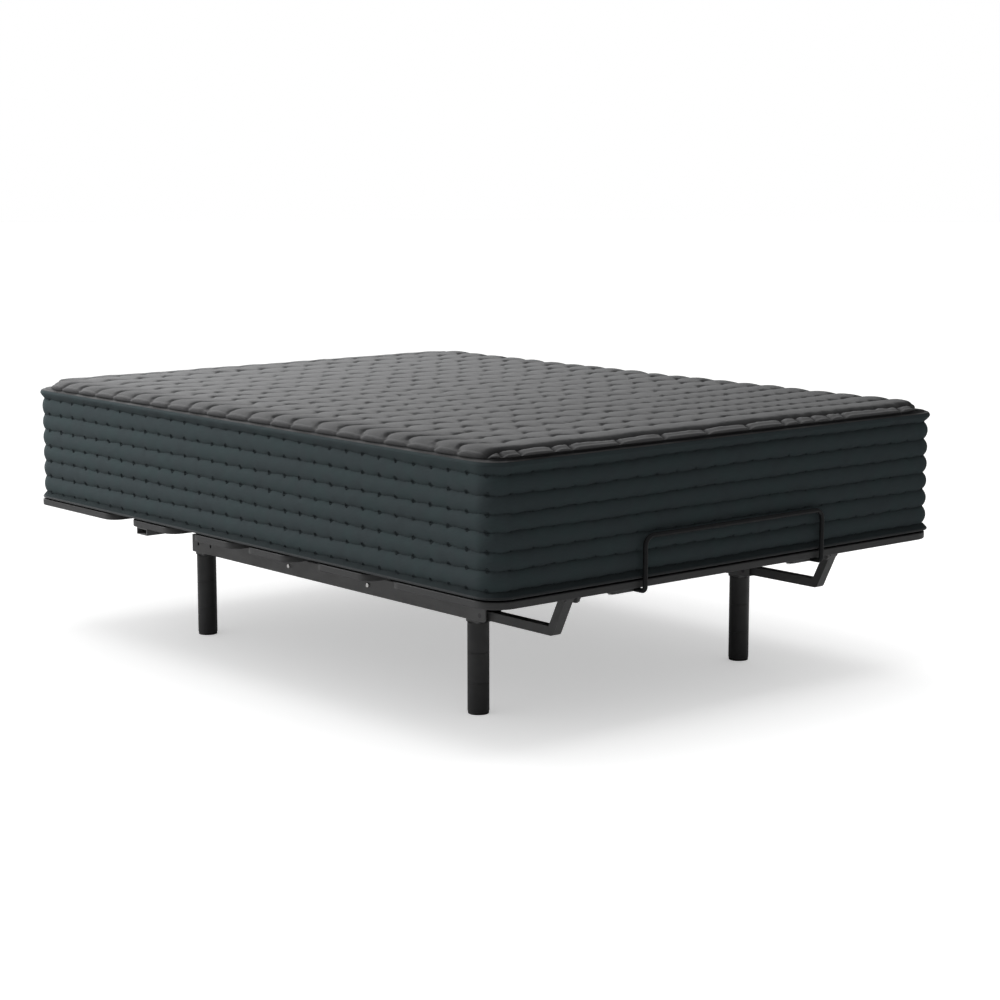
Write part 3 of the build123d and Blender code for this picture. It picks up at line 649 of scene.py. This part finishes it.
# ---------------------------------------------------------------- border profile, from the groove down
wob = [0.9 * np.sin(2 * np.pi * S / TUFT + 1.7 * i) + 0.8 * np.sin(2 * np.pi * S / 397.0 + 2.3 * i) - sink(base, i) for i in range(7)]
VAL = valley(nrm[:, 0])
near = S / TUFT
near = (near - np.rint(near)) * TUFT          # distance along the edge to the nearest tuft column
shy = 1.0 - 0.75 * ease((-nrm[:, 1] - 0.45) / 0.45)      # the tufts across the foot end are small and shallow
knot = np.exp(-(near / 8.0) ** 2) * shy
lively = 0.5 * np.sin(2 * np.pi * S / 211.0 + 0.6) + 0.4 * np.sin(2 * np.pi * S / 83.0)
section = []                                  # (inset array, z array, seam array, material)
fade = 0.52 + 0.30 * np.sin(S / 53.0) * np.sin(S / 131.0 + 0.7)      # the flange is darkened by an amount that varies along the edge, so it shows more in some places than in others
for e, z, sv_shade in ((14.6, 688.4, 1.0), (13.4, 687.0, 1.0), (11.8, 686.4, 0.95), (10.0, 686.1, 0.8), (8.0, 685.8, 0.0), (6.0, 685.3, 0.0),
                 (4.4, 684.6, 0.3), (3.4, 683.9, 0.5)):
    # painted shade in the gap under the pillows: darker at the foot, where the gap is open, lighter along the sides,
    # where it is closed
    tone = np.where(e > 9.0, sv_shade * (0.45 + 0.55 * ease((-nrm[:, 1] - 0.3) / 0.5)), np.maximum(sv_shade, fade))
    section.append((np.full(NL, e), np.full(NL, z), tone, TOP))
# painted shade over the rounded top of the border just under the flange
for e, z in ((2.7, 683.2), (2.0, 681.9), (1.2, 680.2), (0.6, 678.6), (0.3, 677.2), (0.3, 676.2)):
    section.append((np.full(NL, e), np.full(NL, z) + 0.5 * lively, np.full(NL, 0.35 if e > 2 else 0.18), BORDER))
for i in range(1, 9):
    f = i / 9.0
    zz = 676.2 + (ROWS[0] + wob[0] - 676.2) * f
    ee = 0.3 + (VAL - 0.3) * f ** 1.30 + 0.7 * lively * math.sin(math.pi * f)
    # painted shade deepening into the first stitched row
    section.append((ee, zz, np.full(NL, max(0.0, (f - 0.72) / 0.28) ** 2 * 0.8), BORDER))
chord, sag = 44.25, VALLEY - BULGE
rad = (chord * chord / 4 + sag * sag) / (2 * sag)
for i in range(6):
    za, zb = ROWS[i] + wob[i], ROWS[i + 1] + wob[i + 1]
    M = 14
    for j in range(0, M):
        # rows crowd towards the stitched valleys, where the cloth turns sharply
        f = 0.5 - 0.5 * math.cos(math.pi * j / M) if j else 0.0
        f = 0.35 * j / M + 0.65 * f
        d = (f - 0.5) * chord
        out = math.sqrt(max(rad * rad - d * d, 0.0)) - (rad - sag)
        plump = 1.0 + 0.05 * lively - 0.03 * knot * math.sin(math.pi * f) ** 0.5
        dimple = 1.0 * knot * (math.exp(-(f * chord / 7.0) ** 2) + math.exp(-((1 - f) * chord / 7.0) ** 2))
        e = VAL - out * (VAL - BULGE) / sag * plump + dimple
        # painted shade in the stitched valleys, heavier at the tufts
        sv_shade = math.exp(-(f * chord / 2.8) ** 2) + math.exp(-((1 - f) * chord / 2.8) ** 2)
        section.append((e, za + (zb - za) * f, np.clip(sv_shade * (0.14 + 0.22 * knot), 0, 1), BORDER))
for i in range(0, 8):
    f = i / 8.0
    zz = ROWS[6] + wob[6] * (1 - f) + (381.4 - ROWS[6]) * f
    ee = VAL + (0.9 - VAL) * f ** 0.72 + 1.3 * knot * math.exp(-(f * 13 / 7.0) ** 2)
    # painted shade over the flare below the lowest row, darkest at the valley
    section.append((ee, zz, np.full(NL, max(math.exp(-(f * 13.0 / 3.4) ** 2) * 0.8, 0.74 - 0.10 * f)), BORDER))
# the taped bottom edge stands a little off the deck, the sheet under the mattress comes down further in
for z, e in ((381.4, 0.9), (380.2, 0.3), (379.0, 0.4), (377.8, 1.2), (377.0, 2.6), (376.6, 5.0)):
    section.append((np.full(NL, e), np.full(NL, z), np.zeros(NL), TAPE))
for z, e in ((376.4, 9.0), (375.6, 13.0), (374.0, 17.0), (Z_BOT, 21.0), (Z_BOT, 30.0)):
    section.append((np.full(NL, e), np.full(NL, z), np.zeros(NL), UNDER))

loops = []
run = 0.0
last = None
for e, z, s, m in section:
    p = base + nrm * (RC - e)[:, None]
    if last is not None:
        run += float(np.mean(np.hypot(e - last[0], z - last[1])))
    last = (e, z)
    first = add_verts(np.column_stack([p, z]), np.column_stack([S, np.full(NL, -run), np.zeros(NL)]), s)
    ids = first + np.arange(NL)
    ring_quads(prev, ids, m)
    loops.append(ids)
    prev = ids

# underside: strips across the bed, and one flat sheet at each end
R = prev[i_right:i_right + NY]
Lf = prev[i_left:i_left + NY][::-1]
quads.append(np.stack([R[:-1], Lf[:-1], Lf[1:], R[1:]], 1))
fmat.append(np.full(NY - 1, UNDER))
foot_end = [*prev[i_left + NY - 1:], *prev[:i_right + 1]]
head_end = list(prev[i_right + NY - 1:i_left + 1])
for loop in (foot_end, head_end):
    ngons.append([int(v) for v in reversed(loop)])
    nmat.append(UNDER)

SURF = count                                  # vertices of the skin; thread comes after


# ---------------------------------------------------------------- stitches and tufts on the border
def loop_frame(s):
    """Point on the tape line and its outward normal at distance s along the edge."""
    s = np.mod(s, PERIM)
    ext_s = np.append(S, PERIM)
    i = np.clip(np.searchsorted(ext_s, s, side="right") - 1, 0, NL - 1)
    f = (s - ext_s[i]) / (ext_s[i + 1] - ext_s[i])
    j = (i + 1) % NL
    b = base[i] * (1 - f)[:, None] + base[j] * f[:, None]
    n = nrm[i] * (1 - f)[:, None] + nrm[j] * f[:, None]
    n /= np.linalg.norm(n, axis=1)[:, None]
    return b, n


thread_of = []                                # meant for the first vertex and count of each thread bit, for the split; never filled or used


def tubes(paths, radius, sides):
    """Closed little tubes along short paths: paths is (count, points, 3)."""
    n, k, _ = paths.shape
    tan = np.gradient(paths, axis=1)
    tan /= np.linalg.norm(tan, axis=2)[..., None]
    up = np.array([0.0, 0.0, 1.0])
    a = np.cross(tan, up)
    la = np.linalg.norm(a, axis=2)[..., None]
    a = np.where(la > 0.2, a / np.maximum(la, 1e-9), np.array([1.0, 0.0, 0.0]))
    b = np.cross(tan, a)
    ang = 2 * np.pi * np.arange(sides) / sides
    taper = np.ones(k)
    taper[0] = taper[-1] = 0.45
    rr = radius * taper
    pts = (paths[:, :, None, :] + rr[None, :, None, None]
           * (a[:, :, None, :] * np.cos(ang)[None, None, :, None] + b[:, :, None, :] * np.sin(ang)[None, None, :, None]))
    flat = pts.reshape(-1, 3)
    first = add_verts(flat, flat, 0.0)
    idx = first + np.arange(n * k * sides).reshape(n, k, sides)
    nx_ = np.roll(idx, -1, 2)
    q = np.stack([idx[:, :-1], nx_[:, :-1], nx_[:, 1:], idx[:, 1:]], -1).reshape(-1, 4)
    quads.append(q)
    fmat.append(np.full(len(q), THREAD))
    if sides == 4:
        ends = np.concatenate([idx[:, 0, ::-1], idx[:, -1]])
        quads.append(ends)
        fmat.append(np.full(len(ends), THREAD))
    return idx


for r in range(7):
    # lockstitch dashes lying in the valley
    per = 5
    s = (np.arange(N_TUFT * per) + 0.5) * TUFT / per
    s = s + rng.uniform(-0.8, 0.8, len(s))
    half = 4.3
    pts = []
    for f in (-1.0, -0.35, 0.35, 1.0):
        ss = s + f * half
        b, n = loop_frame(ss)
        zz = ROWS[r] + 0.9 * np.sin(2 * np.pi * ss / TUFT + 1.7 * r) + 0.8 * np.sin(2 * np.pi * ss / 397.0 + 2.3 * r) - sink(b, r)
        e = valley(n[:, 0]) - 1.1 + (0.9 if abs(f) > 0.9 else 0.0)
        pts.append(np.column_stack([b + n * (RC - e)[:, None], zz]))
    tubes(np.stack(pts, 1), 0.45, 4)
    # tufts: a thread loop tied across the valley at each column
    s = np.arange(N_TUFT) * TUFT + rng.uniform(-2.0, 2.0, N_TUFT)
    b, n = loop_frame(s)
    tang = np.column_stack([-n[:, 1], n[:, 0]])
    zc = ROWS[r] + 1.4 + 0.9 * np.sin(2 * np.pi * s / TUFT + 1.7 * r) + rng.uniform(-1.5, 1.5, N_TUFT) - sink(b, r)
    at_foot = n[:, 1] < -0.6
    wide = rng.uniform(3.2, 4.4, N_TUFT) * np.where(at_foot, 0.45, 1.0)
    tall = rng.uniform(4.0, 5.8, N_TUFT) * np.where(at_foot, 0.45, 1.0)
    lean = rng.uniform(-0.5, 0.5, N_TUFT)
    pts = []
    for a in np.linspace(0, 2 * np.pi, 11):
        dz = tall * math.sin(a)
        ds = wide * math.cos(a) + lean * dz
        # the loop lies over the swell of the two channels and dips into the valley between
        zz = zc + dz
        off = np.abs(zz - ROWS[r] + sink(b, r))
        d = off - chord / 2
        surf = np.sqrt(np.maximum(rad * rad - d * d, 0.0)) - (rad - sag)
        e = valley(n[:, 0]) - surf * 0.92 * (valley(n[:, 0]) - BULGE) / sag - 0.5
        pts.append(np.column_stack([b + n * (RC - e)[:, None] + tang * ds[:, None], zz]))
    pts = np.stack(pts, 1)
    tubes(pts[~at_foot], 1.0, 4)
    tubes(pts[at_foot], 0.6, 4)

V = np.concatenate(verts)
FAB = np.concatenate(fab) * MM
SKIN_SHADE = np.clip(np.concatenate(seam), 0, 1)
Q = np.concatenate(quads)
FM = np.concatenate(fmat)


# ---------------------------------------------------------------- one skin, cut in three where the bed bends
def make_mesh(name, co, q, ng, qm, nm):
    me = bpy.data.meshes.new(name)
    me.from_pydata((co * MM + np.array([0, YS * MM, 0])).tolist(), [], q.tolist() + ng)
    me.polygons.foreach_set("material_index", np.concatenate([qm, np.array(nm, int)]).astype(np.int32))
    me.polygons.foreach_set("use_smooth", np.ones(len(me.polygons), bool))
    me.update()
    return me


whole = make_mesh("whole_skin", V, Q, ngons, FM, nmat)
NRM = np.zeros(len(V) * 3, np.float32)
whole.vertex_normals.foreach_get("vector", NRM)
NRM = NRM.reshape(-1, 3)
bpy.data.meshes.remove(whole)

qy = V[Q][:, :, 1].mean(1)
ny_ = np.array([V[np.array(f), 1].mean() for f in ngons])
jl = {SPLIT_KNEE: int(np.argmin(np.abs(ys - SPLIT_KNEE))), SPLIT_BACK: int(np.argmin(np.abs(ys - SPLIT_BACK)))}
ring_first = NX * NY
n_rings = len(EDGE) + len(NOSE)


def cross_loop(j):
    """Vertex ids round the section at row j, starting along the top from the left."""
    top = list(range(j * NX, (j + 1) * NX))
    ir, il = i_right + j, i_left + (NY - 1 - j)
    right = [ring_first + k * NL + ir for k in range(n_rings)] + [int(l[ir]) for l in loops]
    left = [ring_first + k * NL + il for k in range(n_rings)] + [int(l[il]) for l in loops]
    return top + right + left[::-1]


PIECES = [
    ("mattress_back_soft", SPLIT_BACK, 1e9, ("frame", "back"), (260.0, 1.0, 44.0, 160.0, 44.0, 350.0),
     ("mattress_back",)),
    ("mattress_seat_soft", SPLIT_KNEE, SPLIT_BACK, ("frame", "thigh"), (-10.0, -1.0, 22.0, 110.0, 22.0, 220.0),
     ("mattress_seat", "mattress_thigh")),
    ("mattress_foot_soft", -1e9, SPLIT_KNEE, ("thigh", "foot"), (-282.0, -1.0, 45.0, 52.0, 45.0, 350.0),
     ("mattress_foot",)),
]
SOFT = []
for name, lo, hi, (ba, bb), bend, stands_for in PIECES:
    qs = (qy >= lo) & (qy < hi)
    ng = [f for f, yy in zip(ngons, ny_) if lo <= yy < hi]
    nm = [m for m, yy in zip(nmat, ny_) if lo <= yy < hi]
    q, qm = Q[qs], FM[qs]
    used = np.unique(np.concatenate([q.ravel(), np.array([v for f in ng for v in f], int)]))
    new_id = np.full(len(V), -1)
    new_id[used] = np.arange(len(used))
    co, fb, sm, nr = V[used], FAB[used], SKIN_SHADE[used], NRM[used]
    q = new_id[q]
    ng = [[int(new_id[v]) for v in f] for f in ng]
    # flat inner walls where the skin is cut, on vertices of their own
    for cut, flip in ((lo, False), (hi, True)):
        if abs(cut) < 1e8:
            ids = cross_loop(jl[cut])
            cp = V[ids]
            start = len(co)
            co = np.concatenate([co, cp])
            fb = np.concatenate([fb, cp * MM])
            sm = np.concatenate([sm, np.zeros(len(ids))])
            nr = np.concatenate([nr, np.tile([0.0, 1.0 if flip else -1.0, 0.0], (len(ids), 1))])
            f = list(range(start, start + len(ids)))
            ng.append(f[::-1] if flip else f)
            nm.append(UNDER)
    me = make_mesh(name, co, q, ng, qm, nm)
    for m in FABRICS:
        me.materials.append(m)
    at = me.attributes.new("fab", "FLOAT_VECTOR", "POINT")
    at.data.foreach_set("vector", fb.astype(np.float32).ravel())
    # the seam attribute carries the painted shade weight of each vertex
    at = me.attributes.new("seam", "FLOAT", "POINT")
    at.data.foreach_set("value", sm.astype(np.float32))
    me.normals_split_custom_set_from_vertices(nr.astype(float).tolist())
    o = bpy.data.objects.new(name, me)
    scene.collection.objects.link(o)
    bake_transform(o)
    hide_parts(*stands_for)
    SOFT.append(o)

# =====================================================================
# floor
# =====================================================================
fm, nt, b = new_mat("studio_floor")
b.inputs["Base Color"].default_value = (0.97, 0.97, 0.97, 1.0)
b.inputs["Roughness"].default_value = 0.9
b.inputs["Specular IOR Level"].default_value = 0.1
b.inputs["Emission Color"].default_value = (1.0, 1.0, 1.0, 1.0)
b.inputs["Emission Strength"].default_value = 0.40
fme = bpy.data.meshes.new("floor")
fme.from_pydata([(-40, -40, 0), (40, -40, 0), (40, 40, 0), (-40, 40, 0)], [], [(0, 1, 2, 3)])
fme.materials.append(fm)
floor = bpy.data.objects.new("floor", fme)
scene.collection.objects.link(floor)
floor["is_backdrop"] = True
# the lamps light the bed; the floor has the even sky and a wash from straight above, so its shadow lies under the bed
for lamps, state in (((key, top), "EXCLUDE"), ((wash,), "INCLUDE")):
    group = bpy.data.collections.new("floor_" + state.lower())
    group.objects.link(floor)
    group.collection_objects[0].light_linking.link_state = state
    for lamp in lamps:
        lamp.light_linking.receiver_collection = group

wm, nt, b = new_mat("studio_wall")
b.inputs["Base Color"].default_value = (0.0, 0.0, 0.0, 1.0)
b.inputs["Specular IOR Level"].default_value = 0.0
b.inputs["Emission Color"].default_value = (1.0, 1.0, 1.0, 1.0)
b.inputs["Emission Strength"].default_value = 1.0
N_WALL = 64
ring_xy = [(34 * math.cos(2 * math.pi * i / N_WALL), 34 * math.sin(2 * math.pi * i / N_WALL)) for i in range(N_WALL)]
wme = bpy.data.meshes.new("wall")
wme.from_pydata([(px, py, -0.01) for px, py in ring_xy] + [(px, py, 9.2) for px, py in ring_xy], [],
                [(i, (i + 1) % N_WALL, N_WALL + (i + 1) % N_WALL, N_WALL + i) for i in range(N_WALL)])
wme.materials.append(wm)
wall = bpy.data.objects.new("wall", wme)
scene.collection.objects.link(wall)
wall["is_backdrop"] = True

# the glow of the floor and the backdrop is for the picture, it does not light the bed
bed = bpy.data.collections.new("bed_exclude")
for o in [*frame["nodes"].values(), *SOFT]:
    bed.objects.link(o)
for entry in bed.collection_objects:
    entry.light_linking.link_state = "EXCLUDE"
floor.light_linking.receiver_collection = bed
wall.light_linking.receiver_collection = bed

lo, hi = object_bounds()
